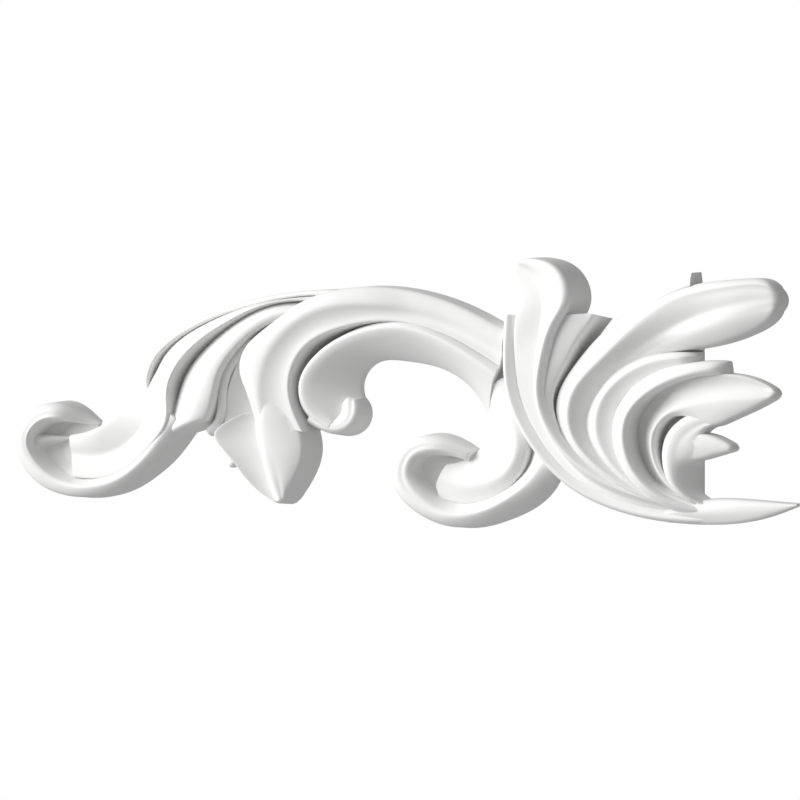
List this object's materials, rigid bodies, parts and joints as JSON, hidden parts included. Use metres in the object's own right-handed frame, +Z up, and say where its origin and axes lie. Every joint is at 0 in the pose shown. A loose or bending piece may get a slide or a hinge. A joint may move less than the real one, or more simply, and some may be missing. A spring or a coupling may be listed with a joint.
{
  "type": "moulding end ornament",
  "caption": "Cast white acanthus scroll that closes the end of a flat wall moulding, flat at the back, with curled leaves, an arched stem and rolled volutes.",
  "frame": {"origin": "on the flat back where it meets the wall, under the heart of the leaf and on the centre line of the moulding that the ornament closes", "axes": "+Y into the wall, +Z up, +X along the wall towards the moulding"},
  "size_m": [0.3964, 0.025, 0.1229],
  "materials": {
    "white_primed_foam": "matt white factory primer on cast hard foam"
  },
  "bodies": {
    "root": {"scroll_ornament": "white_primed_foam"}
  },
  "joints": []
}
